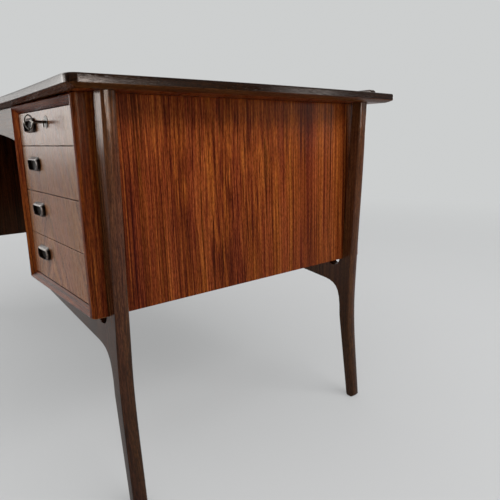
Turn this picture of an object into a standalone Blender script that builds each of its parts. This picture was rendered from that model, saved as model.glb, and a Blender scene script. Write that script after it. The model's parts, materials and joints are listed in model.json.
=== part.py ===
"""Executive desk: a bowed top on two drawer pedestals, carried by four leg frames that stand outside them."""
import math

import bmesh
import bpy
from mathutils import Matrix, Vector

# Overall sizes in metres; x runs to the right end, y to the back, z up from the floor
DESK_HEIGHT = 0.719
KNEEHOLE_WIDTH = 0.575
CASE_WIDTH = 0.343
CASE_DEPTH = 0.668
CASE_HEIGHT = 0.354

# Desk top with solid lippings and a raised lip along the back
TOP_THICKNESS = 0.018
SIDE_OVERHANG = 0.062
SIDE_BOW = 0.0135
REAR_FLARE = 0.005
FRONT_OVERHANG = 0.0255
FRONT_HOLLOW = 0.016
REAR_OVERHANG = 0.027
FRONT_CORNER = 0.018
REAR_CORNER = 0.010
LIPPING_WIDTH = 0.022
EDGE_UNDERCUT = 0.013
EDGE_ROUND = 0.0022
LIP_RISE = 0.0135
LIP_THICKNESS = 0.014
LIP_SETBACK = 0.002
LIP_END_INSET = 0.044
LIP_END_ROUND = 0.010

# Pedestal boards, mitred at the corners, with front edges bevelled back to the drawers
BOARD_THICKNESS = 0.016
FRAME_LAND = 0.0052
FRAME_ROUND = 0.0048
FRAME_ROUND_DEPTH = 0.012
DRAWER_RECESS = 0.010
BACK_THICKNESS = 0.010
BACK_INSET = 0.004
DIVIDER_THICKNESS = 0.012

# Apron over the kneehole and modesty panel behind it
APRON_THICKNESS = 0.018
APRON_DEPTH = 0.048
APRON_ARCH = 0.026
MODESTY_THICKNESS = 0.016
MODESTY_HEIGHT = 0.300

# Drawers
DRAWERS_PER_CASE = 4
TOP_FRONT_HEIGHT = 0.0600
FRONT_THICKNESS = 0.018
FRONT_GAP = 0.0015
BOX_BACK_AIR = 0.066
BOX_WALL = 0.010
BOX_SIDE_AIR = 0.0015
BOX_HEADROOM = 0.003

# Pulls, low oval knobs drawn out along the drawer
PULL_LENGTH = 0.064
PULL_HEIGHT = 0.0268
PULL_PROJECTION = 0.0090
PULL_SHIFT = 0.0765
PULL_DROP = 0.0325
TOP_PULL_DROP = 0.0231
PULL_STEPS = 20

# Lock and key of the right top drawer
LOCK_SHIFT = 0.014
LOCK_DROP = 0.0205
LOCK_CYLINDER_RADIUS = 0.0105
LOCK_CYLINDER_REACH = 0.008
LOCK_CYLINDER_PROUD = 0.0006
LOCK_CASE_WIDTH = 0.044
LOCK_CASE_DEPTH = 0.020
BOLT_WIDTH = 0.018
BOLT_THICKNESS = 0.006
BOLT_THROW = 0.007
KEY_SHANK_RADIUS = 0.0026
KEY_SHOWN = 0.0205
KEY_INSERTED = 0.014
KEY_BOW_LENGTH = 0.0157
KEY_BOW_WIDTH = 0.0257
KEY_WIRE = 0.0026
KEY_BIT_OUT = 0.0035
KEY_BIT_LENGTH = 0.0025
KEY_BIT_THICKNESS = 0.0022
KEY_BIT_REACH = 0.0088

# Leg frames, measured outward from the pedestal's end face
LEG_THICKNESS = 0.0262
FRONT_LEG_SETBACK = 0.029
REAR_LEG_SETBACK = 0.031
LEG_CROWN = 0.005
LEG_CROWN_LAND = 0.003
LEG_EDGE = 0.002
FOOT_OUT = 0.043
FOOT_WIDTH = 0.020
FOOT_ROUND = 0.005
WAIST_OUT = 0.0235
WAIST_DROP = 0.1037
LEG_TOP_OUT = 0.0405
LEG_TOP_WIDTH = 0.0205
LEG_SEAT_RISE = 0.030
KNEE_OUT = -0.0055
KNEE_DROP = 0.143
ARM_SHORT = 0.023
ARM_ROOT = 0.069
ARM_ROOT_DEPTH = 0.0565
ARM_TIP_DEPTH = 0.029
NOTCH_INSET = 0.009
NOTCH_WIDTH = 0.040
NOTCH_DEPTH = 0.019

# Air left between pieces that touch, and small clearances
GAP = 0.0003
SLIDE_AIR = 0.001
WALL = 0.001

# Heights and planes that follow from the sizes above
top_under = DESK_HEIGHT - TOP_THICKNESS
case_top = top_under - GAP
case_bottom = case_top - CASE_HEIGHT
open_bottom = case_bottom + BOARD_THICKNESS
open_top = case_top - BOARD_THICKNESS
half_kneehole = KNEEHOLE_WIDTH / 2
end_face = half_kneehole + CASE_WIDTH
half_top = end_face + SIDE_OVERHANG
key_reach = KEY_SHOWN + KEY_BOW_LENGTH - DRAWER_RECESS
pull_reach = PULL_PROJECTION - DRAWER_RECESS
front_reach = max(FRONT_OVERHANG, key_reach, pull_reach)
whole_depth = front_reach + CASE_DEPTH + REAR_OVERHANG
case_front = front_reach - whole_depth / 2
case_rear = case_front + CASE_DEPTH
top_front = case_front - FRONT_OVERHANG
top_rear = case_rear + REAR_OVERHANG
drawer_face = case_front + DRAWER_RECESS
front_back = drawer_face + FRONT_THICKNESS
back_face = case_rear - BACK_INSET - BACK_THICKNESS


def wipe_scene():
    for item in list(bpy.data.objects):
        bpy.data.objects.remove(item, do_unlink=True)


def new_collection(name):
    group = bpy.data.collections.new(name)
    bpy.context.scene.collection.children.link(group)
    return group


def new_material(name, colour, roughness, metallic):
    material = bpy.data.materials.new(name)
    material.use_nodes = True
    shader = material.node_tree.nodes["Principled BSDF"]
    shader.inputs["Base Color"].default_value = (*colour, 1.0)
    shader.inputs["Roughness"].default_value = roughness
    shader.inputs["Metallic"].default_value = metallic
    return material


wipe_scene()
desk = new_collection("executive_desk")
cutters = new_collection("cutters")
veneer = new_material("striped_veneer", (0.26, 0.11, 0.05), 0.32, 0.0)
veneer_top = new_material("top_veneer", (0.30, 0.14, 0.06), 0.28, 0.0)
veneer_front = new_material("front_veneer", (0.33, 0.19, 0.11), 0.32, 0.0)
dark_wood = new_material("dark_solid_wood", (0.07, 0.030, 0.018), 0.34, 0.0)
pull_wood = new_material("pull_wood", (0.045, 0.022, 0.015), 0.30, 0.0)
drawer_wood = new_material("drawer_lining", (0.58, 0.42, 0.26), 0.55, 0.0)
steel = new_material("key_steel", (0.70, 0.69, 0.66), 0.22, 1.0)
lock_metal = new_material("lock_metal", (0.50, 0.44, 0.36), 0.38, 1.0)


def add_object(name, mesh, material, location=(0, 0, 0), parent=None, group=None):
    item = bpy.data.objects.new(name, mesh)
    (group or desk).objects.link(item)
    mesh.materials.append(material)
    item.parent = parent
    base = Vector(parent.location) if parent else Vector()
    item.location = Vector(location) - base
    return item


def add_empty(name, location):
    item = bpy.data.objects.new(name, None)
    item.empty_display_size = 0.03
    item.location = location
    desk.objects.link(item)
    return item


def mesh_from(bm, name):
    mesh = bpy.data.meshes.new(name)
    bm.to_mesh(mesh)
    bm.free()
    return mesh


def span(low, high):
    low = Vector(low)
    high = Vector(high)
    return (low + high) / 2, high - low


def add_box(name, low, high, material, parent=None, group=None):
    centre, size = span(low, high)
    bm = bmesh.new()
    bmesh.ops.create_cube(bm, size=1.0, matrix=Matrix.Diagonal((*size, 1.0)))
    return add_object(name, mesh_from(bm, name), material, centre, parent, group)


def add_rod(name, x, z, y_low, y_high, radius, material, parent=None, group=None):
    bm = bmesh.new()
    turn = Matrix.Rotation(math.radians(90), 4, "X")
    length = y_high - y_low
    bmesh.ops.create_cone(bm, cap_ends=True, segments=32, radius1=radius, radius2=radius, depth=length,
                          matrix=turn)
    item = add_object(name, mesh_from(bm, name), material, (x, (y_low + y_high) / 2, z), parent, group)
    item.data.shade_smooth()
    item.data.set_sharp_from_angle(angle=math.radians(40))
    return item


def as_cutter(item):
    item.hide_render = True
    item.display_type = "WIRE"
    return item


def combine(target, tool, operation):
    step = target.modifiers.new(operation.lower(), "BOOLEAN")
    step.operation = operation
    step.solver = "EXACT"
    step.object = as_cutter(tool)


def evaluated_mesh(item, name):
    bpy.context.view_layer.update()
    graph = bpy.context.evaluated_depsgraph_get()
    mesh = bpy.data.meshes.new_from_object(item.evaluated_get(graph))
    mesh.name = name
    bm = bmesh.new()
    bm.from_mesh(mesh)
    bmesh.ops.remove_doubles(bm, verts=bm.verts, dist=0.00001)
    bmesh.ops.recalc_face_normals(bm, faces=bm.faces)
    bm.to_mesh(mesh)
    bm.free()
    mesh.materials.clear()
    bpy.data.objects.remove(item, do_unlink=True)
    return mesh


def outline_mesh(name, points, thickness):
    curve = bpy.data.curves.new(name, "CURVE")
    curve.dimensions = "2D"
    curve.fill_mode = "BOTH"
    curve.extrude = thickness / 2
    line = curve.splines.new("POLY")
    line.points.add(len(points) - 1)
    for point, (x, y) in zip(line.points, points):
        point.co = (x, y, 0.0, 1.0)
    line.use_cyclic_u = True
    item = bpy.data.objects.new(name, curve)
    desk.objects.link(item)
    return evaluated_mesh(item, name)


def loft_mesh(name, rings):
    bm = bmesh.new()
    rows = [[bm.verts.new(point) for point in ring] for ring in rings]
    count = len(rings[0])
    for near, far in zip(rows, rows[1:]):
        for i in range(count):
            j = (i + 1) % count
            bm.faces.new((near[i], near[j], far[j], far[i]))
    bm.faces.new(rows[0])
    bm.faces.new(rows[-1])
    bmesh.ops.recalc_face_normals(bm, faces=bm.faces)
    return mesh_from(bm, name)


def turned_mesh(name, profile, steps):
    bm = bmesh.new()
    verts = [bm.verts.new((radius, 0.0, height)) for radius, height in profile]
    for first, second in zip(verts, verts[1:]):
        bm.edges.new((first, second))
    item = bpy.data.objects.new(name, mesh_from(bm, name))
    desk.objects.link(item)
    screw = item.modifiers.new("turn", "SCREW")
    screw.steps = steps
    screw.render_steps = steps
    screw.use_merge_vertices = True
    screw.merge_threshold = 0.00005
    screw.use_normal_calculate = True
    return evaluated_mesh(item, name)


def arc(centre, radius_x, radius_y, start, end, steps):
    points = []
    for i in range(steps + 1):
        angle = math.radians(start + (end - start) * i / steps)
        points.append((centre[0] + radius_x * math.cos(angle), centre[1] + radius_y * math.sin(angle)))
    return points


def bezier(start, lean, reach, end, steps):
    points = []
    for i in range(steps + 1):
        t = i / steps
        a, b, c, d = (1 - t) ** 3, 3 * t * (1 - t) ** 2, 3 * t * t * (1 - t), t ** 3
        x = a * start[0] + b * lean[0] + c * reach[0] + d * end[0]
        y = a * start[1] + b * lean[1] + c * reach[1] + d * end[1]
        points.append((x, y))
    return points


def without_repeats(points):
    kept = []
    for point in points:
        if not kept or math.dist(point, kept[-1]) > 0.00002:
            kept.append(point)
    return kept


# Plan of the desk top: hollow front edge, bowed ends, straight back, rounded corners
top_middle = (top_front + top_rear) / 2
half_depth = (top_rear - top_front) / 2


def front_line(x):
    return top_front + FRONT_HOLLOW * (1 - (x / half_top) ** 2)


def rear_line(x):
    return top_rear


def end_line(y):
    share = (y - top_middle) / half_depth
    return half_top + SIDE_BOW * (1 - share ** 2) + REAR_FLARE * (1 + share) / 2


def corner_point(long_line, y_corner, inward, radius, angle):
    x_start = end_line(y_corner) - radius
    y_start = long_line(x_start)
    y_end = y_corner + inward * radius
    x_end = end_line(y_end)
    turn = math.radians(angle)
    return x_start + (x_end - x_start) * math.sin(turn), y_end + (y_start - y_end) * math.cos(turn)


def inner_corner(long_line, inward):
    y = long_line(half_top) + inward * LIPPING_WIDTH
    x = end_line(y) - LIPPING_WIDTH
    y = long_line(x) + inward * LIPPING_WIDTH
    return end_line(y) - LIPPING_WIDTH, y


def long_edge(long_line, y_corner, inward, radius):
    right = [corner_point(long_line, y_corner, inward, radius, angle) for angle in (15, 30, 45)]
    x_flat = end_line(y_corner) - radius
    flat = [(x_flat * (i / 10 - 1), long_line(x_flat * (i / 10 - 1))) for i in range(21)]
    outer = [(-x, y) for x, y in reversed(right)] + flat + right
    shrink = (inner_corner(long_line, inward)[0]) / right[-1][0]
    inner = [(x * shrink, long_line(x * shrink) + inward * LIPPING_WIDTH) for x, y in outer]
    return outer, inner


def end_edge():
    front = [corner_point(front_line, top_front, 1, FRONT_CORNER, angle) for angle in (45, 60, 75)]
    rear = [corner_point(rear_line, top_rear, -1, REAR_CORNER, angle) for angle in (75, 60, 45)]
    y_low = top_front + FRONT_CORNER
    y_high = top_rear - REAR_CORNER
    levels = [y_low + (y_high - y_low) * i / 16 for i in range(17)]
    outer = front + [(end_line(y), y) for y in levels] + rear
    start = inner_corner(front_line, 1)[1]
    stop = inner_corner(rear_line, -1)[1]
    stretch = (stop - start) / (outer[-1][1] - outer[0][1])
    inner = []
    for x, y in outer:
        y_in = start + (y - outer[0][1]) * stretch
        inner.append((end_line(y_in) - LIPPING_WIDTH, y_in))
    return outer, inner


def lipping_ring(outer, inner):
    z_low = top_under
    z_high = DESK_HEIGHT
    profile = [(EDGE_UNDERCUT, z_low), (EDGE_UNDERCUT * 0.52, z_low + TOP_THICKNESS * 0.15)]
    profile += [(EDGE_UNDERCUT * 0.12, z_low + TOP_THICKNESS * 0.32)]
    profile += [(EDGE_UNDERCUT * 0.02, z_low + TOP_THICKNESS * 0.38)]
    profile += [(0.0, z_low + TOP_THICKNESS * 0.44), (0.0, z_high - EDGE_ROUND * 1.2)]
    profile += [(EDGE_ROUND * 0.3, z_high - EDGE_ROUND * 0.3)]
    profile += [(EDGE_ROUND, z_high)]
    ring = [(inner[0], inner[1], z_low)]
    for inset, z in profile:
        share = inset / LIPPING_WIDTH
        ring.append((outer[0] + (inner[0] - outer[0]) * share, outer[1] + (inner[1] - outer[1]) * share, z))
    ring.append((inner[0], inner[1], z_high))
    return ring


def nudged(points, first, last):
    moved = list(points)
    moved[0] = (points[0][0] + first[0], points[0][1] + first[1])
    moved[-1] = (points[-1][0] + last[0], points[-1][1] + last[1])
    return moved


def add_lipping(name, edge, first, last):
    outer, inner = edge
    pairs = zip(nudged(outer, first, last), nudged(inner, first, last))
    item = add_object(name, loft_mesh(name, [lipping_ring(a, b) for a, b in pairs]), dark_wood)
    item.data.shade_smooth()
    item.data.set_sharp_from_angle(angle=math.radians(35))
    return item


def mirrored(edge):
    outer, inner = edge
    return [(-x, y) for x, y in outer], [(-x, y) for x, y in inner]


front_edge = long_edge(front_line, top_front, 1, FRONT_CORNER)
rear_edge = long_edge(rear_line, top_rear, -1, REAR_CORNER)
right_edge = end_edge()
left_edge = mirrored(right_edge)
mitre = GAP * 0.72
add_lipping("top_lipping_front", front_edge, (mitre, 0), (-mitre, 0))
add_lipping("top_lipping_rear", rear_edge, (mitre, 0), (-mitre, 0))
add_lipping("top_lipping_right", right_edge, (0, mitre), (0, -mitre))
add_lipping("top_lipping_left", left_edge, (0, mitre), (0, -mitre))

# Veneered field of the top, just inside the lippings
field = [(x, y + GAP) for x, y in front_edge[1][1:-1]]
field += [(x - GAP, y) for x, y in right_edge[1][1:-1]]
field += [(x, y - GAP) for x, y in reversed(rear_edge[1][1:-1])]
field += [(x + GAP, y) for x, y in reversed(left_edge[1][1:-1])]
field_mesh = outline_mesh("top_panel", field, TOP_THICKNESS)
add_object("top_panel", field_mesh, veneer_top, (0, 0, top_under + TOP_THICKNESS / 2))

# Raised lip along the back
lip_half = half_top - LIP_END_INSET
lip_round = min(LIP_END_ROUND, LIP_RISE * 0.8)
lip_shape = [(-lip_half, 0.0), (lip_half, 0.0)]
lip_shape += arc((lip_half - lip_round, LIP_RISE - GAP - lip_round), lip_round, lip_round, 0, 90, 4)
lip_shape += arc((lip_round - lip_half, LIP_RISE - GAP - lip_round), lip_round, lip_round, 90, 180, 4)
lip_mesh = outline_mesh("top_rear_lip", lip_shape, LIP_THICKNESS)
lip_y = top_rear - LIP_SETBACK - LIP_THICKNESS / 2
rear_lip = add_object("top_rear_lip", lip_mesh, dark_wood, (0, lip_y, DESK_HEIGHT + GAP))
rear_lip.rotation_euler = (math.radians(90), 0, 0)


# Pedestal boards: one section, mitred at both ends so that four of them close round the drawers
def board_mesh(name, length):
    bend = arc((FRAME_ROUND_DEPTH, -FRAME_ROUND), FRAME_ROUND_DEPTH, FRAME_ROUND, 90, 180, 5)
    section = bend + [(0.0, -FRAME_LAND), (DRAWER_RECESS, -BOARD_THICKNESS)]
    section += [(CASE_DEPTH, -BOARD_THICKNESS), (CASE_DEPTH, 0.0)]
    reach = length / 2 - GAP * 0.72
    left = [(-reach - z, y, z) for y, z in section]
    right = [(reach + z, y, z) for y, z in section]
    return loft_mesh(name, [left, right])


def add_board(name, length, x, z, turn):
    item = add_object(name, board_mesh(name, length), veneer, (x, case_front, z))
    item.rotation_euler = (0, math.radians(turn), 0)
    return item


# Drawer heights from the top down: one low front, the rest equal
low_fronts = DRAWERS_PER_CASE - 1
opening_height = open_top - open_bottom
front_height = (opening_height - TOP_FRONT_HEIGHT - FRONT_GAP * (DRAWERS_PER_CASE + 1)) / low_fronts
front_spans = []
level = open_top - FRONT_GAP
for index in range(DRAWERS_PER_CASE):
    height = TOP_FRONT_HEIGHT if index == 0 else front_height
    front_spans.append((level - height, level))
    level -= height + FRONT_GAP
divider_levels = [low - FRONT_GAP / 2 for low, high in front_spans[:-1]]

# Pull profile from the outer face back to the drawer front, in shares of half its height and its projection
pull_half = PULL_HEIGHT / 2
pull_stretch = (PULL_LENGTH - PULL_HEIGHT) / 2
pull_face = [(0.0, 1.0), (0.50, 1.0), (0.84, 0.995), (0.90, 0.92), (0.97, 0.74)]
pull_side = [(0.99, 0.60), (1.0, 0.25), (0.99, 0.0), (0.0, 0.0)]
pull_profile = pull_face + pull_side
pull_outline = [(r * pull_half, GAP + p * (PULL_PROJECTION - GAP)) for r, p in pull_profile]


def add_pull(name, x, z, parent):
    mesh = turned_mesh(name, pull_outline, PULL_STEPS)
    mesh.transform(Matrix.Rotation(math.pi / PULL_STEPS, 4, "Z"))
    for vertex in mesh.vertices:
        share = math.sqrt(math.hypot(vertex.co.x, vertex.co.y) / pull_half)
        vertex.co.x += math.copysign(pull_stretch * share, vertex.co.x)
    item = add_object(name, mesh, pull_wood, (x, drawer_face, z), parent)
    item.rotation_euler = (math.radians(90), 0, 0)
    item.data.shade_smooth()
    item.data.set_sharp_from_angle(angle=math.radians(50))
    return item


def add_drawer_box(name, low, high, parent):
    centre, size = span(low, high)
    bm = bmesh.new()
    bmesh.ops.create_cube(bm, size=1.0, matrix=Matrix.Diagonal((*size, 1.0)))
    open_faces = [face for face in bm.faces if face.normal.z > 0.5 or face.normal.y < -0.5]
    bmesh.ops.delete(bm, geom=open_faces, context="FACES")
    item = add_object(name, mesh_from(bm, name), drawer_wood, centre, parent)
    shell = item.modifiers.new("walls", "SOLIDIFY")
    shell.thickness = BOX_WALL
    shell.offset = -1.0
    shell.use_even_offset = True
    return item


def add_pedestal(name, side):
    middle = side * (half_kneehole + CASE_WIDTH / 2)
    inner_wall = CASE_WIDTH / 2 - BOARD_THICKNESS
    centre_z = (case_top + case_bottom) / 2
    add_board(f"case_{name}_outer", CASE_HEIGHT, side * end_face, centre_z, 90 * side)
    add_board(f"case_{name}_inner", CASE_HEIGHT, side * half_kneehole, centre_z, -90 * side)
    lid = add_board(f"case_{name}_top", CASE_WIDTH, middle, case_top, 0)
    add_board(f"case_{name}_bottom", CASE_WIDTH, middle, case_bottom, 180)
    reach = inner_wall - GAP
    low = (middle - reach, back_face, open_bottom + GAP)
    high = (middle + reach, back_face + BACK_THICKNESS, open_top - GAP)
    add_box(f"case_{name}_back", low, high, veneer)
    for number, z in enumerate(divider_levels, start=1):
        low = (middle - reach, front_back + SLIDE_AIR, z - DIVIDER_THICKNESS / 2)
        high = (middle + reach, back_face - GAP, z + DIVIDER_THICKNESS / 2)
        add_box(f"case_{name}_divider_{number}", low, high, drawer_wood)
    fronts = []
    for index, (z_low, z_high) in enumerate(front_spans):
        label = f"drawer_{name}_{index + 1}"
        slide = add_empty(f"{label}_slide", (middle, drawer_face, (z_low + z_high) / 2))
        half_front = inner_wall - FRONT_GAP
        low = (middle - half_front, drawer_face, z_low)
        high = (middle + half_front, front_back, z_high)
        fronts.append(add_box(f"{label}_front", low, high, veneer_front, slide))
        ceiling = open_top if index == 0 else divider_levels[index - 1] - DIVIDER_THICKNESS / 2
        last = index == DRAWERS_PER_CASE - 1
        seat = open_bottom if last else divider_levels[index] + DIVIDER_THICKNESS / 2
        half_box = inner_wall - BOX_SIDE_AIR
        low = (middle - half_box, front_back + GAP, seat + GAP)
        high = (middle + half_box, back_face - BOX_BACK_AIR, ceiling - BOX_HEADROOM)
        add_drawer_box(f"{label}_box", low, high, slide)
        drop = TOP_PULL_DROP if index == 0 else PULL_DROP
        add_pull(f"{label}_pull", middle - side * PULL_SHIFT, z_high - drop, slide)
    return middle, lid, fronts[0]


right_middle, right_lid, right_front = add_pedestal("right", 1)
add_pedestal("left", -1)


# Lock of the right top drawer: cylinder and key turn, the bolt rises into the pedestal's top board
lock_x = right_middle + LOCK_SHIFT
lock_z = front_spans[0][1] - LOCK_DROP
drawer_slide = right_front.parent
cylinder_end = front_back + LOCK_CYLINDER_REACH
lock_turn = add_empty("lock_turn", (lock_x, drawer_face, lock_z))
cylinder = add_rod("lock_cylinder", lock_x, lock_z, drawer_face - LOCK_CYLINDER_PROUD, cylinder_end,
                   LOCK_CYLINDER_RADIUS, lock_metal, lock_turn)
bore_radius = LOCK_CYLINDER_RADIUS + GAP
bore = add_rod("lock_bore", lock_x, lock_z, drawer_face - WALL * 5, cylinder_end + GAP, bore_radius,
               lock_metal, None, cutters)
combine(right_front, bore, "DIFFERENCE")

bolt_y_low = cylinder_end + GAP + WALL * 2
bolt_y_high = bolt_y_low + BOLT_THICKNESS
lock_low = lock_z - LOCK_CYLINDER_RADIUS - WALL * 6
lock_high = lock_z + LOCK_CYLINDER_RADIUS + WALL * 3
half_lock = LOCK_CASE_WIDTH / 2
low = (lock_x - half_lock, front_back + GAP, lock_low)
high = (lock_x + half_lock, max(front_back + LOCK_CASE_DEPTH, bolt_y_high + WALL * 3), lock_high)
lock_case = add_box("lock_case", low, high, lock_metal, drawer_slide)
combine(lock_case, bore, "DIFFERENCE")

half_bolt = BOLT_WIDTH / 2
bolt_low = lock_low + WALL * 4
bolt_high = open_top - WALL * 2
low = (lock_x - half_bolt - GAP, bolt_y_low - GAP, bolt_low - GAP)
high = (lock_x + half_bolt + GAP, bolt_y_high + GAP, open_top)
channel = add_box("bolt_channel", low, high, lock_metal, None, cutters)
combine(lock_case, channel, "DIFFERENCE")
bolt_slide = add_empty("bolt_slide", (lock_x, bolt_y_low, bolt_low))
low = (lock_x - half_bolt, bolt_y_low, bolt_low)
add_box("lock_bolt", low, (lock_x + half_bolt, bolt_y_high, bolt_high), steel, bolt_slide)
low = (lock_x - half_bolt - SLIDE_AIR, bolt_y_low - SLIDE_AIR, open_top - WALL * 5)
high = (lock_x + half_bolt + SLIDE_AIR, bolt_y_high + SLIDE_AIR, bolt_high + BOLT_THROW + WALL * 2)
strike = add_box("strike_slot", low, high, steel, None, cutters)
combine(right_lid, strike, "DIFFERENCE")

# Keyway through the cylinder
keyway_end = cylinder_end + WALL
keyway = add_rod("keyway", lock_x, lock_z, drawer_face - WALL * 5, keyway_end, KEY_SHANK_RADIUS + GAP,
                 steel, None, cutters)
combine(cylinder, keyway, "DIFFERENCE")
half_slot = KEY_BIT_THICKNESS / 2 + GAP
low = (lock_x - half_slot, drawer_face - WALL * 5, lock_z - KEY_BIT_REACH - GAP)
slot = add_box("key_slot", low, (lock_x + half_slot, keyway_end, lock_z), steel, None, cutters)
combine(cylinder, slot, "DIFFERENCE")

# Key: round shank with a bit, and an open oval bow
key_slide = add_empty("key_slide", (lock_x, drawer_face, lock_z))
bow_near = drawer_face - KEY_SHOWN
bow_wire = KEY_WIRE / 2
shank_end = drawer_face + KEY_INSERTED
key = add_rod("key", lock_x, lock_z, bow_near - bow_wire * 1.5, shank_end, KEY_SHANK_RADIUS, steel, key_slide)
bow_curve = bpy.data.curves.new("key_bow", "CURVE")
bow_curve.dimensions = "3D"
bow_curve.bevel_depth = bow_wire
bow_curve.bevel_resolution = 2
bow_line = bow_curve.splines.new("POLY")
bow_points = arc((bow_near - KEY_BOW_LENGTH / 2, lock_z), KEY_BOW_LENGTH / 2 - bow_wire,
                 KEY_BOW_WIDTH / 2 - bow_wire, 0, 345, 23)
bow_line.points.add(len(bow_points) - 1)
for point, (y, z) in zip(bow_line.points, bow_points):
    point.co = (lock_x, y, z, 1.0)
bow_line.use_cyclic_u = True
bow_item = bpy.data.objects.new("key_bow", bow_curve)
desk.objects.link(bow_item)
bow = add_object("key_bow", evaluated_mesh(bow_item, "key_bow"), steel, (0, 0, 0), None, cutters)
combine(key, bow, "UNION")
bit_near = drawer_face - KEY_BIT_OUT
half_bit = KEY_BIT_THICKNESS / 2
low = (lock_x - half_bit, bit_near - KEY_BIT_LENGTH, lock_z - KEY_BIT_REACH)
bit = add_box("key_bit", low, (lock_x + half_bit, bit_near, lock_z), steel, None, cutters)
combine(key, bit, "UNION")

# Arched apron over the kneehole
apron_half = half_kneehole - GAP
apron_top = top_under - GAP
apron_shape = [(-apron_half, apron_top), (apron_half, apron_top)]
for i in range(21):
    x = apron_half * (1 - i / 10)
    apron_shape.append((x, apron_top - APRON_DEPTH - APRON_ARCH * (x / apron_half) ** 2))
apron_mesh = outline_mesh("kneehole_apron", apron_shape, APRON_THICKNESS)
apron = add_object("kneehole_apron", apron_mesh, veneer_front, (0, drawer_face + APRON_THICKNESS / 2, 0))
apron.rotation_euler = (math.radians(90), 0, 0)

# Modesty panel at the back of the kneehole
panel_rear = case_rear - BACK_INSET
low = (-apron_half, panel_rear - MODESTY_THICKNESS, apron_top - MODESTY_HEIGHT)
add_box("modesty_panel", low, (apron_half, panel_rear, apron_top), veneer)


# Leg frame: a leg outside the pedestal, bent like a boomerang, and an arm under the pedestal.
# Each point of the outline is (x outward, z, crown), with crown 1 on the leg's outer line and 0 elsewhere.
def leg_outline():
    arm_top = case_bottom - GAP
    leg_top = top_under - GAP
    standoff = GAP * 2
    arm_tip = -(CASE_WIDTH - ARM_SHORT)
    tip_round = ARM_TIP_DEPTH * 0.2
    tip_low = arm_top - ARM_TIP_DEPTH + tip_round
    waist = (WAIST_OUT, case_bottom - WAIST_DROP)
    knee = (KNEE_OUT, case_bottom - KNEE_DROP)
    root = (-ARM_ROOT, arm_top - ARM_ROOT_DEPTH)
    rise = leg_top - waist[1]
    fall = root[1] - knee[1]
    foot_lean = (FOOT_OUT - 0.4 * (FOOT_OUT - WAIST_OUT), waist[1] * 0.36)
    top_lean = (LEG_TOP_OUT - 0.25 * (LEG_TOP_OUT - WAIST_OUT), waist[1] + rise * 0.5)
    outer = bezier((FOOT_OUT, FOOT_ROUND), foot_lean, (waist[0], waist[1] * 0.68), waist, 10)
    outer += bezier(waist, (waist[0], waist[1] + rise * 0.17), top_lean, (LEG_TOP_OUT, leg_top), 12)
    inner = [(LEG_TOP_OUT - LEG_TOP_WIDTH, leg_top)]
    inner += [(standoff, case_bottom + LEG_SEAT_RISE), (standoff, arm_top)]
    inner += arc((-NOTCH_INSET - NOTCH_WIDTH / 2, arm_top), NOTCH_WIDTH / 2, NOTCH_DEPTH, 0, -180, 10)
    inner += arc((arm_tip + tip_round, arm_top - tip_round), tip_round, tip_round, 90, 180, 2)
    inner += arc((arm_tip + tip_round, tip_low), tip_round, tip_round, 180, 270, 2)
    inner += bezier(root, (root[0] * 0.32, root[1] - fall * 0.05), (knee[0], root[1] - fall * 0.10), knee, 8)
    inner += arc((FOOT_OUT - FOOT_WIDTH + FOOT_ROUND, FOOT_ROUND), FOOT_ROUND, FOOT_ROUND, 180, 270, 3)
    foot = arc((FOOT_OUT - FOOT_ROUND, FOOT_ROUND), FOOT_ROUND, FOOT_ROUND, -90, 0, 3)
    shape = [(x, z, i / 3) for i, (x, z) in enumerate(foot[:-1])]
    shape += [(x, z, 1.0) for x, z in without_repeats(outer)]
    shape += [(x, z, 0.0) for x, z in without_repeats(inner)]
    return shape


def inward_normals(shape, level_top):
    normals = []
    for i, (x, z, crown) in enumerate(shape):
        before = Vector(shape[i - 1][:2])
        after = Vector(shape[(i + 1) % len(shape)][:2])
        here = Vector((x, z))
        along = (here - before).normalized() + (after - here).normalized()
        normal = Vector((-along.y, along.x)).normalized()
        if z > level_top - WALL:
            normal.y = 0.0
        normals.append(normal)
    return normals


def rounding(share):
    return 1 - math.sqrt(max(0.0, 1 - share * share))


def add_leg(name, side, y):
    shape = leg_outline()
    normals = inward_normals(shape, top_under - GAP)
    half = LEG_THICKNESS / 2
    land = LEG_CROWN_LAND / LEG_THICKNESS
    shares = [land + (1 - land) * math.sin(math.radians(angle)) for angle in (0, 32, 54, 73, 90)]
    rings = []
    for share in [-value for value in reversed(shares)] + shares:
        crown_inset = LEG_CROWN * rounding((abs(share) - land) / (1 - land))
        edge_inset = LEG_EDGE * rounding(max(0.0, (abs(share) * half - half + LEG_EDGE) / LEG_EDGE))
        ring = []
        for (x, z, crown), normal in zip(shape, normals):
            inset = edge_inset + (crown_inset - edge_inset) * crown
            ring.append((side * (x + normal.x * inset), share * half, z + normal.y * inset))
        rings.append(ring)
    item = add_object(name, loft_mesh(name, rings), dark_wood, (side * end_face, y, 0))
    item.data.shade_smooth()
    item.data.set_sharp_from_angle(angle=math.radians(35))
    return item


front_leg_y = case_front + FRONT_LEG_SETBACK + LEG_THICKNESS / 2
rear_leg_y = case_rear - REAR_LEG_SETBACK - LEG_THICKNESS / 2
for side_name, side_sign in (("right", 1), ("left", -1)):
    add_leg(f"leg_frame_front_{side_name}", side_sign, front_leg_y)
    add_leg(f"leg_frame_rear_{side_name}", side_sign, rear_leg_y)
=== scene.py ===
import json
import math

import bmesh
import bpy
from mathutils import Matrix, Vector


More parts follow.
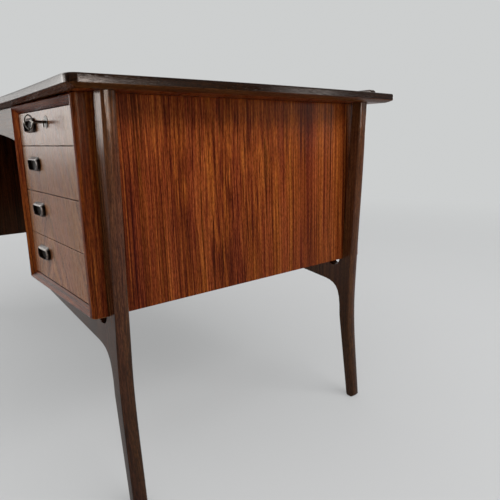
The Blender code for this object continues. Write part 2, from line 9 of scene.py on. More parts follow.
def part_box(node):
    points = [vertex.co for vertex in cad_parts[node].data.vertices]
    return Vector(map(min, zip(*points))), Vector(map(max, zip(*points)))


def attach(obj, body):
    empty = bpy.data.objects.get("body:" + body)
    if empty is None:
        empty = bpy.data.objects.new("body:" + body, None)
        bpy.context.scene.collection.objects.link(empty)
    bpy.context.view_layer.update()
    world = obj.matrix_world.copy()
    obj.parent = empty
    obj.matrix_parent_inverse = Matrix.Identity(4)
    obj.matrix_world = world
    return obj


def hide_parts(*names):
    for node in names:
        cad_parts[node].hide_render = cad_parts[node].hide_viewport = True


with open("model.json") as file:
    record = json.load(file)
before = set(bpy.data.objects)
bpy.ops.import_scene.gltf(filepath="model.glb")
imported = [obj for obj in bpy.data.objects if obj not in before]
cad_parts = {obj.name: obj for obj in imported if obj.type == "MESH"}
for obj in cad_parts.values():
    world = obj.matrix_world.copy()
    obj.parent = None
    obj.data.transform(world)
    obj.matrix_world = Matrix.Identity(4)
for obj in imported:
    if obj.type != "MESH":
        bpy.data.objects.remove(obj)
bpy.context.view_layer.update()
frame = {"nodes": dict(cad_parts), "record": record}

nodes = frame["nodes"]
bodies = frame["record"]["behaviour"]["bodies"]
scene = bpy.context.scene
scene.view_settings.view_transform = "Standard"


# Node helpers for the procedural materials and the world
class Tree:
    def __init__(self, owner):
        owner.use_nodes = True
        self.nodes = owner.node_tree.nodes
        self.links = owner.node_tree.links

    def put(self, socket, value):
        if isinstance(value, bpy.types.NodeSocket):
            self.links.new(value, socket)
        else:
            socket.default_value = value

    def add(self, kind, **settings):
        node = self.nodes.new(kind)
        for name, value in settings.items():
            setattr(node, name, value)
        return node

    def place(self):
        return self.add("ShaderNodeTexCoord").outputs["Object"]

    def split(self, vector):
        node = self.add("ShaderNodeSeparateXYZ")
        self.put(node.inputs[0], vector)
        return node.outputs

    def stretched(self, vector, scale):
        node = self.add("ShaderNodeMapping")
        self.put(node.inputs["Vector"], vector)
        node.inputs["Scale"].default_value = scale
        return node.outputs["Vector"]

    def noise(self, vector, scale, detail=2.0, roughness=0.5, colour=False):
        node = self.add("ShaderNodeTexNoise")
        self.put(node.inputs["Vector"], vector)
        node.inputs["Scale"].default_value = scale
        node.inputs["Detail"].default_value = detail
        node.inputs["Roughness"].default_value = roughness
        return node.outputs["Color" if colour else "Fac"]

    def line_noise(self, value, scale, detail, roughness):
        node = self.add("ShaderNodeTexNoise", noise_dimensions="1D")
        self.put(node.inputs["W"], value)
        node.inputs["Scale"].default_value = scale
        node.inputs["Detail"].default_value = detail
        node.inputs["Roughness"].default_value = roughness
        return node.outputs["Fac"]

    def math(self, operation, a, b=0.0, c=0.0):
        node = self.add("ShaderNodeMath", operation=operation)
        for socket, value in zip(node.inputs, (a, b, c)):
            self.put(socket, value)
        return node.outputs[0]

    def vector_math(self, operation, a, b=(0.0, 0.0, 0.0)):
        node = self.add("ShaderNodeVectorMath", operation=operation)
        self.put(node.inputs[0], a)
        self.put(node.inputs[1], b)
        return node.outputs["Value" if operation in ("DOT_PRODUCT", "LENGTH") else "Vector"]

    def smooth(self, value, low, high, start=0.0, end=1.0):
        node = self.add("ShaderNodeMapRange", interpolation_type="SMOOTHSTEP")
        names = ("Value", "From Min", "From Max", "To Min", "To Max")
        for name, level in zip(names, (value, low, high, start, end)):
            self.put(node.inputs[name], level)
        return node.outputs["Result"]

    def ramp(self, value, stops):
        node = self.add("ShaderNodeValToRGB")
        self.put(node.inputs["Fac"], value)
        band = node.color_ramp
        while len(band.elements) < len(stops):
            band.elements.new(0.5)
        for element, (at, colour) in zip(band.elements, stops):
            element.position = at
            element.color = (*colour, 1.0)
        return node.outputs["Color"]

    def grey(self, value, stops):
        return self.ramp(value, [(at, (level, level, level)) for at, level in stops])

    def multiply(self, amount, a, b):
        node = self.add("ShaderNodeMix", data_type="RGBA", blend_type="MULTIPLY")
        self.put(node.inputs["Factor"], amount)
        for socket, value in zip([s for s in node.inputs if s.type == "RGBA"], (a, b)):
            self.put(socket, value)
        return next(s for s in node.outputs if s.type == "RGBA")

    def bump(self, height, strength, distance):
        node = self.add("ShaderNodeBump")
        node.inputs["Strength"].default_value = strength
        node.inputs["Distance"].default_value = distance
        self.put(node.inputs["Height"], height)
        self.put(self.nodes["Principled BSDF"].inputs["Normal"], node.outputs["Normal"])

    # Noise whose marks are drawn out along the grain: the smaller along is, the longer they are
    def grained(self, grain, axis, along, scale, detail=1.0, roughness=0.5, colour=False):
        return self.noise(self.stretched(grain, along_axis(axis, along, 1.0)), scale, detail, roughness, colour)


def along_axis(axis, along, across):
    return tuple(along if letter == axis else across for letter in "XYZ")


# Each wood is cut from another place in the noise
SEED_SPREAD = (1.0, 1.7, 0.6)


def seed_shift(seed):
    return tuple(seed * share for share in SEED_SPREAD)


# Finish of all woods: fine pores, flecks and warmer and redder stripes. Scales are about marks per metre.
PORE_ALONG = 0.030
PORE_SCALE = 1500.0
PORE_WEIGHT = 0.6
PORE_TONE = [(0.32, 0.50), (0.46, 1.0)]
PORE_RELIEF = [(0.30, 0.0), (0.48, 1.0)]
PORE_BUMP = 0.10
PORE_DEPTH = 0.0004
PORE_ROUGHNESS = 0.16
FLECK_ALONG = 0.22
FLECK_SCALE = 620.0
FLECK_WEIGHT = 0.8
FLECK_TONE = [(0.30, 0.50), (0.62, 1.25)]
TINT_ALONG = 0.05
TINT_SCALE = 42.0
WARMER = (1.06, 1.12, 0.92)
REDDER = (0.93, 0.84, 1.05)
TINT_TONE = [(0.36, WARMER), (0.64, REDDER)]


def finish_wood(tree, grain, axis, colour, look):
    shader = tree.nodes["Principled BSDF"]
    pores = tree.grained(grain, axis, PORE_ALONG, PORE_SCALE)
    flecks = tree.grained(grain, axis, FLECK_ALONG, FLECK_SCALE)
    tint = tree.grained(grain, axis, TINT_ALONG, TINT_SCALE, 2.0)
    colour = tree.multiply(1.0, colour, tree.ramp(tint, TINT_TONE))
    colour = tree.multiply(PORE_WEIGHT, colour, tree.grey(pores, PORE_TONE))
    colour = tree.multiply(FLECK_WEIGHT, colour, tree.grey(flecks, FLECK_TONE))
    tree.put(shader.inputs["Base Color"], colour)
    rough = tree.math("MULTIPLY_ADD", pores, -PORE_ROUGHNESS, look["rough"] + PORE_ROUGHNESS / 2)
    tree.put(shader.inputs["Roughness"], rough)
    shader.inputs["Specular IOR Level"].default_value = look["gloss"]
    shader.inputs["Specular Tint"].default_value = (*look["sheen"], 1.0)
    tree.bump(tree.grey(pores, PORE_RELIEF), PORE_BUMP, PORE_DEPTH)


# Grain that wanders a little along its length. Leaves of veneer, if any, mirror each other across Y.
DRIFT_ALONG = 0.35
DRIFT_SCALE = 2.6
DRIFT_ROUGHNESS = 0.4


def drifting(tree, axis, seed, wander, leaf=0.0):
    place = tree.place()
    if leaf:
        split = tree.split(place)
        joined = tree.add("ShaderNodeCombineXYZ")
        tree.put(joined.inputs["X"], split["X"])
        tree.put(joined.inputs["Y"], tree.math("PINGPONG", split["Y"], leaf))
        tree.put(joined.inputs["Z"], split["Z"])
        place = joined.outputs[0]
    moved = tree.vector_math("ADD", place, seed_shift(seed))
    drift = tree.grained(moved, axis, DRIFT_ALONG, DRIFT_SCALE, 1.0, DRIFT_ROUGHNESS, True)
    drift = tree.vector_math("SUBTRACT", drift, (0.5, 0.5, 0.5))
    drift = tree.vector_math("MULTIPLY", drift, along_axis(axis, 0.0, wander))
    return tree.vector_math("ADD", moved, drift)


# Layers of streaks: (streaks per metre across, along, weight)
STREAKS = [(8.0, 0.450, 0.28), (14.0, 0.040, 0.45), (60.0, 0.004, 0.30), (190.0, 0.002, 0.55),
           (330.0, 0.002, 0.90), (640.0, 0.003, 0.95)]
STREAK_DETAIL = 1.5
STREAK_ROUGHNESS = 0.55


def streaked(tree, grain, axis, level, contrast):
    for scale, along, weight in STREAKS:
        streaks = tree.grained(grain, axis, along, scale, STREAK_DETAIL, STREAK_ROUGHNESS)
        level = tree.math("MULTIPLY_ADD", tree.math("SUBTRACT", streaks, 0.5), weight * contrast, level)
    return level


# Painted light and shade by height: (height, share of the tone) at the foot and at the head. The drawer fronts are
# painted lighter low down and darker high up, the legs darker at the foot and the upright veneer lighter towards the
# top.
FRONT_SHADE_BY_HEIGHT = ((0.36, 1.52), (0.70, 0.84))
LEG_SHADE_BY_HEIGHT = ((0.05, 0.50), (0.62, 1.30))
PANEL_SHADE_BY_HEIGHT = ((0.36, 0.90), (0.66, 1.24))
GRADE_MOST = 2.0


# Multiplies a colour by the painted light and shade for its height
def paint_shade_by_height(tree, colour, foot, head):
    height = tree.split(tree.place())["Z"]
    share = tree.smooth(height, foot[0], head[0], foot[1] / GRADE_MOST, head[1] / GRADE_MOST)
    return tree.multiply(1.0, colour, tree.grey(share, [(0.0, 0.0), (1.0, GRADE_MOST)]))


# Looks that most woods share; a material's own look comes on top
SATIN = {"rough": 0.28, "gloss": 0.14, "sheen": (1.0, 0.70, 0.45)}
DARK_SATIN = {"rough": 0.15, "gloss": 0.20, "sheen": (1.0, 0.88, 0.78)}
POLISHED = {"rough": 0.06, "gloss": 0.22, "sheen": (1.0, 0.88, 0.82)}
FRONT_SATIN = {"gloss": 0.155, "sheen": (1.0, 0.84, 0.70)}

# Quarter-cut veneer and solid wood: straight stripes with thin dark veins
STRIPE_WANDER = 0.06
VEIN_ALONG = 0.002
VEIN_SCALE = 150.0
VEIN_DETAIL = 2.0
VEIN_ROUGHNESS = 0.6
VEIN_TONE = [(0.58, 1.0), (0.66, 0.42)]


def striped(name, axis, stops, seed, contrast=1.0, leaf=0.0, height_shade=(), **look):
    material = bpy.data.materials.new(name)
    tree = Tree(material)
    grain = drifting(tree, axis, seed, STRIPE_WANDER, leaf)
    level = streaked(tree, grain, axis, 0.5, contrast)
    veins = tree.grained(grain, axis, VEIN_ALONG, VEIN_SCALE, VEIN_DETAIL, VEIN_ROUGHNESS)
    colour = tree.multiply(contrast, tree.ramp(level, stops), tree.grey(veins, VEIN_TONE))
    if height_shade:
        colour = paint_shade_by_height(tree, colour, *height_shade)
    finish_wood(tree, grain, axis, colour, {**SATIN, **look})
    return material


# Crown-cut veneer: growth rings spread downward in arches from the middle of the leaf
ARCH_WANDER = 0.03
ARCH_STREAKS = 0.5
RING_LEAN = 0.5
RING_ROUND = 0.0005
RING_SCALE = 62.0
RING_DETAIL = 3.0
RING_ROUGHNESS = 0.68


def arched(name, centre, stops, seed, contrast, **look):
    material = bpy.data.materials.new(name)
    tree = Tree(material)
    grain = drifting(tree, "Z", seed, ARCH_WANDER)
    shift = seed_shift(seed)
    split = tree.split(tree.vector_math("SUBTRACT", grain, (shift[0] + centre, shift[1], shift[2])))
    side = tree.math("SQRT", tree.math("MULTIPLY_ADD", split["X"], split["X"], RING_ROUND))
    ring = tree.math("MULTIPLY_ADD", split["Z"], RING_LEAN, side)
    rings = tree.line_noise(ring, RING_SCALE, RING_DETAIL, RING_ROUGHNESS)
    level = tree.math("MULTIPLY_ADD", tree.math("SUBTRACT", rings, 0.5), contrast, 0.5)
    level = streaked(tree, grain, "Z", level, contrast * ARCH_STREAKS)
    colour = paint_shade_by_height(tree, tree.ramp(level, stops), *FRONT_SHADE_BY_HEIGHT)
    finish_wood(tree, grain, "Z", colour, {**SATIN, **look})
    return material


# Wood colours: (level of the grain, colour)
VENEER = [(0.20, (0.038, 0.0055, 0.0034)), (0.38, (0.103, 0.0180, 0.0058)), (0.50, (0.162, 0.0318, 0.0080)),
          (0.62, (0.222, 0.0520, 0.0108)), (0.82, (0.330, 0.0900, 0.0180))]
FRONTS = [(0.22, (0.066, 0.024, 0.0085)), (0.40, (0.132, 0.051, 0.0180)), (0.56, (0.180, 0.073, 0.0270)),
          (0.78, (0.240, 0.106, 0.0430))]
DARK = [(0.22, (0.020, 0.0064, 0.0030)), (0.42, (0.050, 0.0168, 0.0060)), (0.58, (0.074, 0.0260, 0.0090)),
        (0.80, (0.116, 0.0440, 0.0160))]
BLACKISH = [(0.30, (0.0040, 0.0028, 0.0026)), (0.50, (0.0085, 0.0052, 0.0044)), (0.75, (0.020, 0.0105, 0.0075))]
LINING = [(0.25, (0.33, 0.20, 0.098)), (0.50, (0.44, 0.29, 0.155)), (0.77, (0.53, 0.37, 0.215))]


# A palette at a share of its tone. Some of these copies are painted light and shade, and say so where they are made;
# others are the woods' own tones.
def scaled_palette(stops, share):
    return [(at, tuple(level * share for level in colour)) for at, colour in stops]


# The top's lippings: one wood in a painted shaded copy, near black, and a painted lit copy for the faces below
EDGES = scaled_palette(DARK, 0.22)
UNDERCUT_LIT_COPY = scaled_palette(DARK, 1.15)
APRON = scaled_palette(FRONTS, 0.40)
# Painted shade: the kneehole's boards take the veneer at 0.15 of its tone
KNEEHOLE_SHADE = scaled_palette(VENEER, 0.15)
# Partly painted shade: the pedestals' front edges and the band before the legs are darker than the veneer
FRAME_PART_SHADE = scaled_palette(VENEER, 0.76)
# Partly painted shade: the case's top and bottom boards are darker than the veneer, as under the top's overhang
RAILS_PART_SHADE = scaled_palette(VENEER, 0.7)
# Painted highlight: the pulls' rim is six times as light as their wood
RIM_HIGHLIGHT = scaled_palette(BLACKISH, 6.0)
# Painted shade: the pulls' hollow, and their end flanks in part, are darker than their wood
HOLLOW_SHADE = scaled_palette(BLACKISH, 0.45)

case_middle = (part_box("case_right_bottom")[0][0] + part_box("case_right_bottom")[1][0]) / 2
FRONT_FIGURE_SHIFT = -0.030
front_middle = case_middle + FRONT_FIGURE_SHIFT
TOP_LEAF = 0.119

# Materials: name, direction or middle of the grain, colours, seed, contrast and look
veneer_upright = striped("veneer_upright", "Z", VENEER, 0.0, 0.95, height_shade=PANEL_SHADE_BY_HEIGHT, rough=0.19, gloss=0.05)
frame_edge = striped("frame_edge", "Z", FRAME_PART_SHADE, 0.3, 0.8, rough=0.36, gloss=0.68, sheen=(1.0, 0.96, 0.94))
frame_side_shade = striped("frame_side_shade", "Z", FRAME_PART_SHADE, 0.3, 0.8, rough=0.18, gloss=0.05)
veneer_shaded = striped("veneer_shaded", "Z", KNEEHOLE_SHADE, 0.9)
veneer_length = striped("veneer_length", "X", VENEER, 1.3, leaf=TOP_LEAF)
veneer_rails = striped("veneer_rails", "X", RAILS_PART_SHADE, 2.6, 0.8, gloss=0.08)
front_right = arched("front_right", front_middle, FRONTS, 3.7, 0.9, **FRONT_SATIN)
front_left = arched("front_left", -front_middle, FRONTS, 3.7, 0.9, **FRONT_SATIN)
apron_wood = striped("apron_wood", "X", APRON, 2.1, 0.8, rough=0.14, gloss=0.037)
dark_upright = striped("dark_upright", "Z", DARK, 4.2, 0.7, height_shade=LEG_SHADE_BY_HEIGHT, **DARK_SATIN)
edge_length = striped("edge_length", "X", EDGES, 5.6, 0.7, **POLISHED)
edge_depth = striped("edge_depth", "Y", EDGES, 6.1, 0.7, **POLISHED)
under_length = striped("under_length", "X", UNDERCUT_LIT_COPY, 5.6, 0.7, gloss=0.05)
under_depth = striped("under_depth", "Y", UNDERCUT_LIT_COPY, 6.1, 0.7, gloss=0.05)
pull_wood = striped("pull_wood", "X", BLACKISH, 7.4, 0.8, rough=0.29, gloss=0.40, sheen=(1.0, 0.94, 0.86))
pull_rim_highlight = striped("pull_rim_highlight", "X", RIM_HIGHLIGHT, 7.4, 0.6, rough=0.27, gloss=0.85, sheen=(1.0, 0.93, 0.86))
pull_hollow_shade = striped("pull_hollow_shade", "X", HOLLOW_SHADE, 7.9, 0.8, rough=0.45, gloss=0.03)
lining_wood = striped("lining_wood", "Y", LINING, 8.8, 0.7, rough=0.50, gloss=0.3)

# Worn metal: fine scratches, and stains that are darker and less smooth
SCRATCH_STRETCH = (1.0, 0.08, 1.0)
SCRATCH_SCALE = 2600.0
SCRATCH_BUMP = 0.08
SCRATCH_DEPTH = 0.0001
STAIN_SCALE = 320.0
STAIN_TONE = 0.45
STAIN_ROUGHNESS = 0.18
STAIN_ROUGHEST = 0.10


def metal(name, colour, rough, seed):
    material = bpy.data.materials.new(name)
    tree = Tree(material)
    shader = tree.nodes["Principled BSDF"]
    place = tree.place()
    scratches = tree.noise(tree.stretched(place, SCRATCH_STRETCH), SCRATCH_SCALE, 2.0, 0.6)
    stains = tree.noise(tree.vector_math("ADD", place, (seed, seed, seed)), STAIN_SCALE, 3.0, 0.6)
    stained = tuple(level * STAIN_TONE for level in colour)
    tree.put(shader.inputs["Base Color"], tree.ramp(stains, [(0.32, stained), (0.58, colour)]))
    shader.inputs["Metallic"].default_value = 1.0
    dulled = tree.math("MULTIPLY_ADD", stains, -STAIN_ROUGHNESS, rough + STAIN_ROUGHEST)
    tree.put(shader.inputs["Roughness"], dulled)
    tree.bump(scratches, SCRATCH_BUMP, SCRATCH_DEPTH)
    return material


key_metal = metal("key_metal", (0.20, 0.19, 0.17), 0.22, 0.4)
lock_metal = metal("lock_metal", (0.070, 0.064, 0.058), 0.45, 1.9)


# A shown piece takes its CAD node's place and rides on that node's body
def dress(name, bm, materials, smooth_angle, even_faces=False):
    bmesh.ops.recalc_face_normals(bm, faces=bm.faces)
    mesh = bpy.data.meshes.new(name + "_finished")
    bm.to_mesh(mesh)
    bm.free()
    for material in materials:
        mesh.materials.append(material)
    mesh.shade_smooth()
    mesh.set_sharp_from_angle(angle=smooth_angle)
    piece = bpy.data.objects.new(name + "_finished", mesh)
    scene.collection.objects.link(piece)
    if even_faces:
        flat = piece.modifiers.new("flat_faces", "WEIGHTED_NORMAL")
        flat.keep_sharp = True
    body = next(body for body, members in bodies.items() if name in members)
    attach(piece, body)
    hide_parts(name)
    return piece


# CAD solids are shown through copies with softened edges
MERGE_DISTANCE = 0.000004
FLAT_ANGLE = math.radians(0.2)
SHARP_ANGLE = math.radians(30)
SMOOTH_ANGLE = math.radians(32)
SOFT_EDGE = 0.0010
SLIGHT_EDGE = 0.0006
FRONT_EDGE = 0.0004
BOX_EDGE = 0.0012
APRON_EDGE = 0.0015
LIP_EDGE = 0.002
AS_IT_IS = 0.0


def softened(name, material, width=SOFT_EDGE, segments=2):
    bm = bmesh.new()
    bm.from_mesh(nodes[name].data)
    bmesh.ops.remove_doubles(bm, verts=bm.verts, dist=MERGE_DISTANCE)
    bmesh.ops.dissolve_limit(bm, angle_limit=FLAT_ANGLE, verts=bm.verts, edges=bm.edges)
    sharp = [e for e in bm.edges if len(e.link_faces) == 2 and e.calc_face_angle(0.0) > SHARP_ANGLE]
    if width and sharp:
        bmesh.ops.bevel(bm, geom=sharp, offset=width, offset_type="OFFSET", segments=segments, profile=0.5,
                        affect="EDGES", clamp_overlap=True)
    return dress(name, bm, [material], SMOOTH_ANGLE, even_faces=True)


CUT_TOLERANCE = 0.00001


def cut(bm, place, way):
    everything = bm.verts[:] + bm.edges[:] + bm.faces[:]
    bmesh.ops.bisect_plane(bm, geom=everything, dist=CUT_TOLERANCE, plane_co=place, plane_no=way)


def share_between(value, low, high):
    return min(1.0, max(0.0, (value - low) / (high - low)))


# Above the arms the legs' broad faces turn outward, so the section narrows towards the crowned outer side
LEG_TURN = 0.23
LEG_TURN_NEAR = 0.005
LEG_TURN_FAR = 0.022
LEG_TURN_PIVOT = 0.0108
LEG_TURN_FADE = 0.060
LEG_TURN_LOW = 0.30
LEG_TURN_HIGH = 0.42
LEG_SLICE = 0.012
LEG_SLICE_REACH = 0.55


def turn_outward(piece):
    bm = bmesh.new()
    bm.from_mesh(piece.data)
    outward = math.copysign(1.0, sum(vert.co.x for vert in bm.verts))
    low, high = (pick(vert.co.z for vert in bm.verts) for pick in (min, max))
    near, far = (pick(vert.co.y for vert in bm.verts) for pick in (min, max))
    middle = (near + far) / 2
    slices = int((high - low) / LEG_SLICE)
    for i in range(1, slices):
        cut(bm, (0.0, 0.0, low + (high - low) * i / slices), (0.0, 0.0, 1.0))
    outline = [(vert.co.z, vert.co.x * outward) for vert in bm.verts]
    for vert in bm.verts:
        level = max(x for z, x in outline if abs(z - vert.co.z) < LEG_SLICE * LEG_SLICE_REACH)
        inward = level - vert.co.x * outward
        swell = LEG_TURN * (min(max(inward, LEG_TURN_NEAR), LEG_TURN_FAR) - LEG_TURN_PIVOT)
        fade = 1.0 - share_between(inward, LEG_TURN_FAR, LEG_TURN_FADE)
        lift = share_between(vert.co.z, LEG_TURN_LOW, LEG_TURN_HIGH)
        vert.co.y += (vert.co.y - middle) / (far - middle) * swell * fade * lift
    bm.to_mesh(piece.data)
    bm.free()


# Pulls: oval cups whose upper lip droops in the middle.
# Each profile point is (share of half the height, share of the projection), from the cup's floor outward.
PULL_PROFILE = [(0.74, 0.06), (0.84, 0.10), (0.87, 0.40), (0.885, 0.80), (0.893, 0.95), (0.90, 0.99),
                (0.908, 1.0), (0.93, 0.945), (0.955, 0.85), (0.973, 0.74), (0.984, 0.60), (0.991, 0.42),
                (0.998, 0.22), (1.005, 0.0)]
PULL_HOLLOW_RINGS = 5
PULL_FLANK_RING = 9
PULL_END_GRAIN = 0.78
PULL_END_DROP = 0.36
PULL_STEPS = 56
PULL_DROOP = 0.52
PULL_WAIST = 0.12
PULL_ENDS = 2.2
PULL_SMOOTH_ANGLE = math.radians(50)
PULL_MATERIALS = [pull_wood, pull_hollow_shade, pull_rim_highlight]
WOOD_SLOT, HOLLOW_SHADE_SLOT, RIM_HIGHLIGHT_SLOT = range(3)


def pull_ring(r, p, half, stretch, reach):
    ring = []
    for k in range(PULL_STEPS):
        angle = 2 * math.pi * (k + 0.5) / PULL_STEPS
        x = r * half * math.cos(angle) + math.copysign(stretch * r ** PULL_ENDS, math.cos(angle))
        z = r * half * math.sin(angle)
        outward = (x / (half + stretch)) ** 2
        drawn_in = (PULL_DROOP if z > 0 else PULL_WAIST) * p * (1.0 - outward)
        ring.append((x, -p * reach * (1.0 - PULL_END_DROP * outward), z * (1.0 - drawn_in)))
    return ring


# The hollow is painted darker as shade, the rim round it is painted light as a highlight, and the flanks at both ends
# take the hollow's dark, dull copy: end grain, whose darkness is partly painted shade
def pull_slot(ring, step):
    if ring < PULL_HOLLOW_RINGS:
        return HOLLOW_SHADE_SLOT
    if ring < PULL_FLANK_RING:
        return RIM_HIGHLIGHT_SLOT
    at_end = abs(math.cos(2 * math.pi * (step + 1) / PULL_STEPS)) > PULL_END_GRAIN
    return HOLLOW_SHADE_SLOT if at_end else WOOD_SLOT


def add_pull(name):
    low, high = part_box(name)
    half = (high[2] - low[2]) / 2
    stretch = (high[0] - low[0]) / 2 - half
    middle = Vector(((low[0] + high[0]) / 2, high[1], (low[2] + high[2]) / 2))
    bm = bmesh.new()
    rings = []
    for r, p in PULL_PROFILE:
        points = pull_ring(r, p, half, stretch, high[1] - low[1])
        rings.append([bm.verts.new(middle + Vector(point)) for point in points])
    for i, (inner, outer) in enumerate(zip(rings, rings[1:])):
        for k in range(PULL_STEPS):
            n = (k + 1) % PULL_STEPS
            face = bm.faces.new((inner[k], inner[n], outer[n], outer[k]))
            face.material_index = pull_slot(i, k)
    bm.faces.new(rings[0]).material_index = HOLLOW_SHADE_SLOT
    bm.faces.new(rings[-1])
    dress(name, bm, PULL_MATERIALS, PULL_SMOOTH_ANGLE)


# The pedestals' boards have another tone on their front edge and in a band behind it. On the outer boards it is
# darker, partly painted shade from the top and from the leg that stands beside the band. On the inner boards the
# front keeps the veneer, and the rest is painted kneehole shade.
INNER_FRONT_BAND = 0.020
OUTER_FRONT_BAND = 0.045
FACES_FRONT = -0.4


def front_band(piece, depth, edge, band):
    bm = bmesh.new()
    bm.from_mesh(piece.data)
    border = min(vert.co.y for vert in bm.verts) + depth
    cut(bm, (0.0, border, 0.0), (0.0, 1.0, 0.0))
    for face in bm.faces:
        if face.calc_center_median().y < border:
            face.material_index = 1 if face.normal.y < FACES_FRONT else 2
    bm.to_mesh(piece.data)
    bm.free()
    piece.data.materials.append(edge)
    piece.data.materials.append(band)


# The outer boards' lower arris is painted in the lining wood's light colour: a painted reflection of the floor along
# the bevel
ARRIS_STEEPEST = -0.95
ARRIS_FLATTEST = -0.3
ARRIS_SIDEWAYS = 0.3


def paint_arris_reflection(piece, pale):
    piece.data.materials.append(pale)
    for face in piece.data.polygons:
        if ARRIS_STEEPEST < face.normal.z < ARRIS_FLATTEST and abs(face.normal.x) > ARRIS_SIDEWAYS:
            face.material_index = len(piece.data.materials) - 1


# The lippings are polished on top and round the edge. Below it they are plain, and their bevel lies a little lower.
# The faces below are also painted far lighter than the faces above: a lit and a shaded copy of one wood.
FACES_DOWN = -0.25
BEVEL_SHARE = 0.5
BEVEL_SQUEEZE = 0.70


def dull_and_lit_below(piece, plain):
    low, high = (pick(vert.co.z for vert in piece.data.vertices) for pick in (min, max))
    for vert in piece.data.vertices:
        if vert.co.z < low + (high - low) * BEVEL_SHARE:
            vert.co.z = low + (vert.co.z - low) * BEVEL_SQUEEZE
    piece.data.materials.append(plain)
    for face in piece.data.polygons:
        face.material_index = int(face.normal.z < FACES_DOWN)


softened("top_panel", veneer_length, AS_IT_IS)
for end in ("front", "rear"):
    dull_and_lit_below(softened(f"top_lipping_{end}", edge_length, AS_IT_IS), under_length)
for end in ("right", "left"):
    dull_and_lit_below(softened(f"top_lipping_{end}", edge_depth, AS_IT_IS), under_depth)
softened("top_rear_lip", edge_length, LIP_EDGE, 3)
softened("kneehole_apron", apron_wood, APRON_EDGE)
softened("modesty_panel", veneer_length)

for side, front_wood in (("right", front_right), ("left", front_left)):
    outer_board = softened(f"case_{side}_outer", veneer_upright)
    front_band(outer_board, OUTER_FRONT_BAND, frame_edge, frame_side_shade)
    paint_arris_reflection(outer_board, lining_wood)
    inner_board = softened(f"case_{side}_inner", veneer_shaded, SLIGHT_EDGE)
    front_band(inner_board, INNER_FRONT_BAND, veneer_upright, veneer_upright)
    for part in ("top", "bottom"):
        softened(f"case_{side}_{part}", veneer_rails, SLIGHT_EDGE)
    softened(f"case_{side}_back", veneer_upright)
    for level in (1, 2, 3):
        softened(f"case_{side}_divider_{level}", lining_wood)
    for end in ("front", "rear"):
        turn_outward(softened(f"leg_frame_{end}_{side}", dark_upright, AS_IT_IS))
    for level in (1, 2, 3, 4):
        softened(f"drawer_{side}_{level}_front", front_wood, FRONT_EDGE)
        softened(f"drawer_{side}_{level}_box", lining_wood, BOX_EDGE)
        add_pull(f"drawer_{side}_{level}_pull")
softened("lock_case", lock_metal, SLIGHT_EDGE)
softened("lock_cylinder", lock_metal, AS_IT_IS)
softened("lock_bolt", key_metal, SLIGHT_EDGE)
softened("key", key_metal, AS_IT_IS)

# Floor: painted near the desk, and far away it goes over into the tone of the surroundings. Near the desk too the
# camera sees it partly as a glow in that tone (FLOOR_GLOW), painted light that lightens the desk's shadow on it.
SEEN_TONE = (0.610, 0.622, 0.622)
FLOOR_SIZE = 40.0
FLOOR_DROP = 0.0005
FLOOR_TONE = 0.53
FLOOR_ROUGHNESS = 0.6
FLOOR_GLOSS = 0.2
FLOOR_NEAR = 0.9
FLOOR_FAR = 4.2
FLOOR_GLOW = 0.45
SPECKLE_SCALE = 240.0
SPECKLE_TONE = 0.012
CLOUD_SCALE = 1.1
CLOUD_TONE = 0.03
CLOUD_LOSS = 0.02

floor_paint = bpy.data.materials.new("floor_paint")
tree = Tree(floor_paint)
place = tree.place()
speckle = tree.noise(place, SPECKLE_SCALE, 3.0, 0.6)
clouds = tree.noise(place, CLOUD_SCALE, 2.0, 0.5)
tone = tree.math("MULTIPLY_ADD", clouds, CLOUD_TONE, FLOOR_TONE - CLOUD_LOSS)
tone = tree.math("MULTIPLY_ADD", speckle, SPECKLE_TONE, tone)
paint = tree.nodes["Principled BSDF"]
tree.put(paint.inputs["Base Color"], tree.grey(tone, [(0.0, 0.0), (1.0, 1.0)]))
paint.inputs["Roughness"].default_value = FLOOR_ROUGHNESS
paint.inputs["Specular IOR Level"].default_value = FLOOR_GLOSS
glow = tree.add("ShaderNodeEmission")
glow.inputs["Color"].default_value = (*SEEN_TONE, 1.0)
path = tree.add("ShaderNodeLightPath")
far = tree.smooth(tree.vector_math("LENGTH", place), FLOOR_NEAR, FLOOR_FAR, FLOOR_GLOW)
blend = tree.add("ShaderNodeMixShader")
tree.put(blend.inputs[0], tree.math("MULTIPLY", far, path.outputs["Is Camera Ray"]))
tree.links.new(paint.outputs[0], blend.inputs[1])
tree.links.new(glow.outputs[0], blend.inputs[2])
tree.links.new(blend.outputs[0], tree.nodes["Material Output"].inputs["Surface"])
bm = bmesh.new()
bmesh.ops.create_grid(bm, x_segments=2, y_segments=2, size=FLOOR_SIZE)
floor_mesh = bpy.data.meshes.new("floor")
bm.to_mesh(floor_mesh)
bm.free()
floor_mesh.materials.append(floor_paint)
floor = bpy.data.objects.new("floor", floor_mesh)
floor.location = (0.0, 0.0, -FLOOR_DROP)
scene.collection.objects.link(floor)

# Surroundings: an even light, a plain tone to look at, and bright and dark bands that only reflections show.
# Each band's stop is (degrees from +X towards +Y, level). The widest bright one is a window to the front left.
AMBIENT = 0.55
AMBIENT_TINT = (0.95, 0.97, 1.0)
MIRRORED_TINT = (1.0, 0.985, 0.965)
AROUND = [(0, 0.40), (3, 20.0), (13, 20.0), (16.5, 2.6), (22, 1.4), (28, 0.45), (34, 0.12), (40, 0.12), (45, 4.6),
          (50, 4.6), (53, 0.2), (70, 0.40), (96, 0.60), (105, 3.5), (125, 3.5), (136, 0.60), (184, 0.60), (190, 0.90),
          (195, 2.8), (200, 5.4), (206, 7.4), (214, 10.0), (246, 10.0), (254, 0.6), (262, 0.05), (345, 0.05)]
BRIGHTEST = max(level for degrees, level in AROUND)
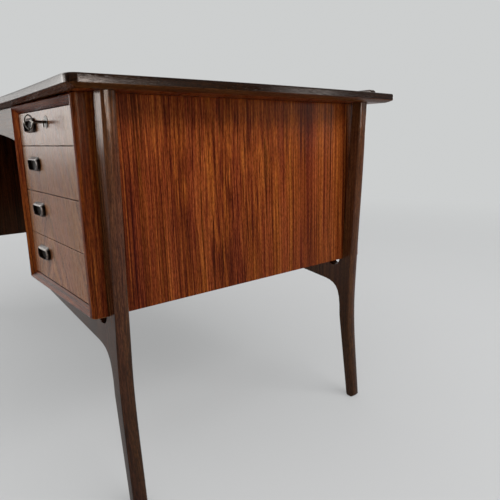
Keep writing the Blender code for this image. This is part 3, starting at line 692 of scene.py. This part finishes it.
# The bands end a little above the horizon, and one soft patch of light stands higher up
BANDS_END = (0.12, 0.22)
OVERHEAD_LEVEL = 0.40
LOBE_WAY = (-0.746, -0.298, 0.596)
LOBE_EDGE = (0.86, 0.96)
LOBE_LEVEL = 3.0

world = bpy.data.worlds.new("studio")
scene.world = world
tree = Tree(world)
tree.nodes.clear()
way = tree.add("ShaderNodeTexCoord").outputs["Generated"]
split = tree.split(way)
turned = tree.math("ARCTAN2", split["Y"], split["X"])
compass = tree.math("FRACT", tree.math("MULTIPLY_ADD", turned, 0.5 / math.pi, 1.0))
around = tree.grey(compass, [(degrees / 360.0, level / BRIGHTEST) for degrees, level in AROUND])
around = tree.math("MULTIPLY", around, BRIGHTEST)
overhead = tree.smooth(split["Z"], *BANDS_END)
mirrored = tree.math("MULTIPLY_ADD", overhead, tree.math("SUBTRACT", OVERHEAD_LEVEL, around), around)
lobe = tree.smooth(tree.vector_math("DOT_PRODUCT", way, LOBE_WAY), *LOBE_EDGE, 0.0, LOBE_LEVEL)
mirrored = tree.math("ADD", mirrored, lobe)
shades = []
for colour, strength in ((AMBIENT_TINT, AMBIENT), (MIRRORED_TINT, mirrored), (SEEN_TONE, 1.0)):
    shade = tree.add("ShaderNodeBackground")
    shade.inputs["Color"].default_value = (*colour, 1.0)
    tree.put(shade.inputs["Strength"], strength)
    shades.append(shade.outputs[0])
even, reflected, seen = shades
path = tree.add("ShaderNodeLightPath")
shown = even
for ray, shade in (("Is Glossy Ray", reflected), ("Is Transmission Ray", seen), ("Is Camera Ray", seen)):
    blend = tree.add("ShaderNodeMixShader")
    tree.put(blend.inputs[0], path.outputs[ray])
    tree.links.new(shown, blend.inputs[1])
    tree.links.new(shade, blend.inputs[2])
    shown = blend.outputs[0]
tree.links.new(shown, tree.add("ShaderNodeOutputWorld").inputs["Surface"])

# Lamps: name, place, target, size, watts and colour. They aren't seen in reflections.
LAMPS = [("key_light", (2.9, 0.9, 2.4), (0.5, 0.0, 0.4), (2.6, 1.0), 62.0, (1.0, 1.0, 1.0)),
         ("ceiling_light", (0.3, -0.4, 3.2), (0.3, 0.0, 0.0), (3.6, 3.6), 45.0, (1.0, 1.0, 1.0)),
         ("window_light", (-3.0, -2.8, 2.6), (0.2, 0.0, 0.4), (3.0, 2.0), 34.0, (1.0, 0.99, 0.97))]

for name, stand, target, size, watts, colour in LAMPS:
    data = bpy.data.lights.new(name, "AREA")
    data.shape = "RECTANGLE"
    data.size = size[0]
    data.size_y = size[1]
    data.energy = watts
    data.color = colour
    lamp = bpy.data.objects.new(name, data)
    lamp.location = stand
    lamp.rotation_euler = (Vector(target) - Vector(stand)).to_track_quat("-Z", "Y").to_euler()
    lamp.visible_glossy = False
    scene.collection.objects.link(lamp)

# Camera at the photograph's place and angle
CAMERA_PLACE = (1.3641, -0.5932, 0.6279)
AZIMUTH = math.radians(51.258)
PITCH = math.radians(12.933)
ROLL = math.radians(1.050)
FOCAL_PIXELS = 483.28
FRAME_PIXELS = 500.0
SENSOR = 36.0
CLIP_START = 0.05

ahead = Vector((-math.sin(AZIMUTH) * math.cos(PITCH), math.cos(AZIMUTH) * math.cos(PITCH), -math.sin(PITCH)))
right = ahead.cross(Vector((0.0, 0.0, 1.0))).normalized()
down = ahead.cross(right)
right_rolled = math.cos(ROLL) * right + math.sin(ROLL) * down
down_rolled = math.cos(ROLL) * down - math.sin(ROLL) * right
lens = bpy.data.cameras.new("camera")
lens.sensor_width = SENSOR
lens.lens = FOCAL_PIXELS / FRAME_PIXELS * SENSOR
lens.clip_start = CLIP_START
camera = bpy.data.objects.new("camera", lens)
turn = Matrix((right_rolled, -down_rolled, -ahead)).transposed()
camera.matrix_world = Matrix.Translation(CAMERA_PLACE) @ turn.to_4x4()
scene.collection.objects.link(camera)
scene.camera = camera
